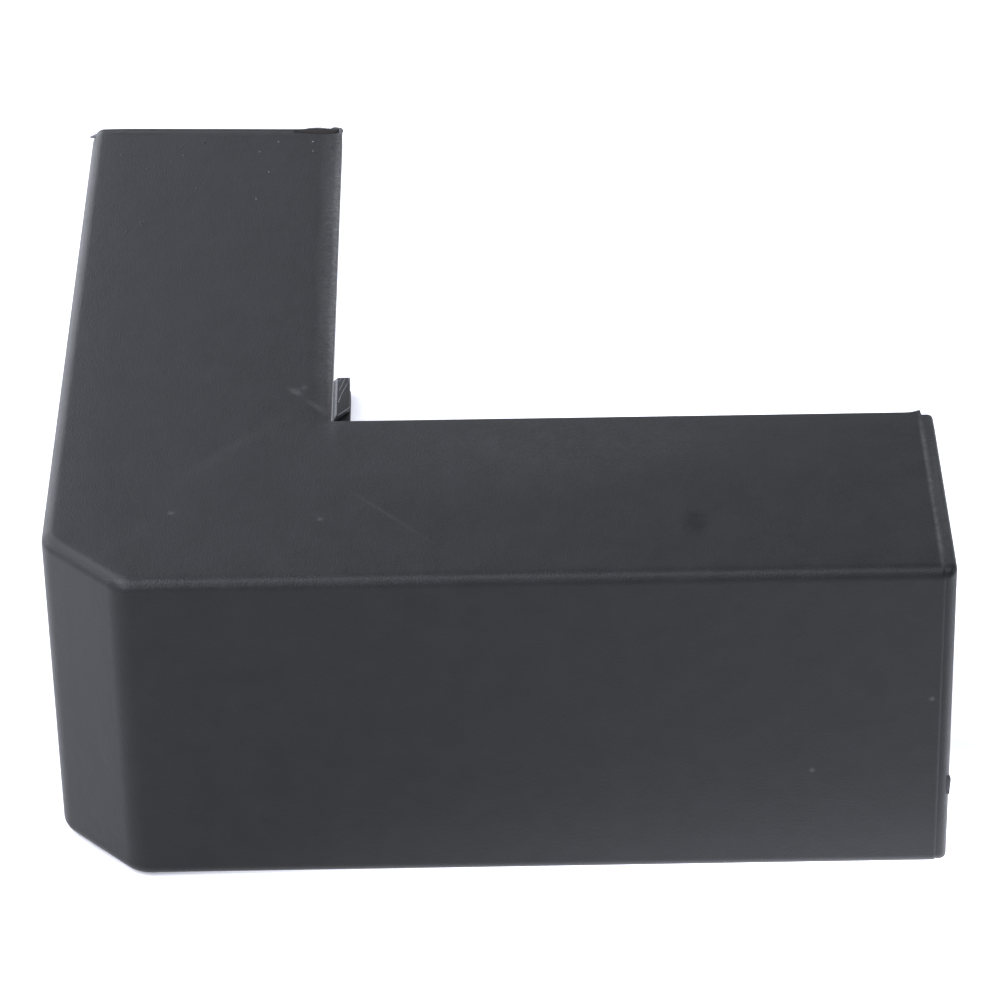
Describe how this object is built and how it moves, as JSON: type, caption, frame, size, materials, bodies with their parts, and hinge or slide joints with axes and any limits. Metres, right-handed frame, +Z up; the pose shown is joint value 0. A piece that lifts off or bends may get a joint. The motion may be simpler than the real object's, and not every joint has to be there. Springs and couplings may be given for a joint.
{
  "type": "trunking external corner",
  "caption": "One-piece moulded cover with a slanted outer corner, hiding the joint where cable trunking turns round an outside wall corner.",
  "frame": {"origin": "middle of the bounding box's underside, in the plane of the lower cheek's outer face", "axes": "+Z up along the outer corner's edge, from the lower cheek to the upper one; the legs run along +X and +Y from the outer corner, which points to -X and -Y"},
  "size_m": [0.0684, 0.068, 0.0278],
  "materials": {
    "shell": "satin charcoal black rigid PVC, as moulded"
  },
  "bodies": {
    "root": {"corner_cover": "shell"}
  },
  "joints": []
}
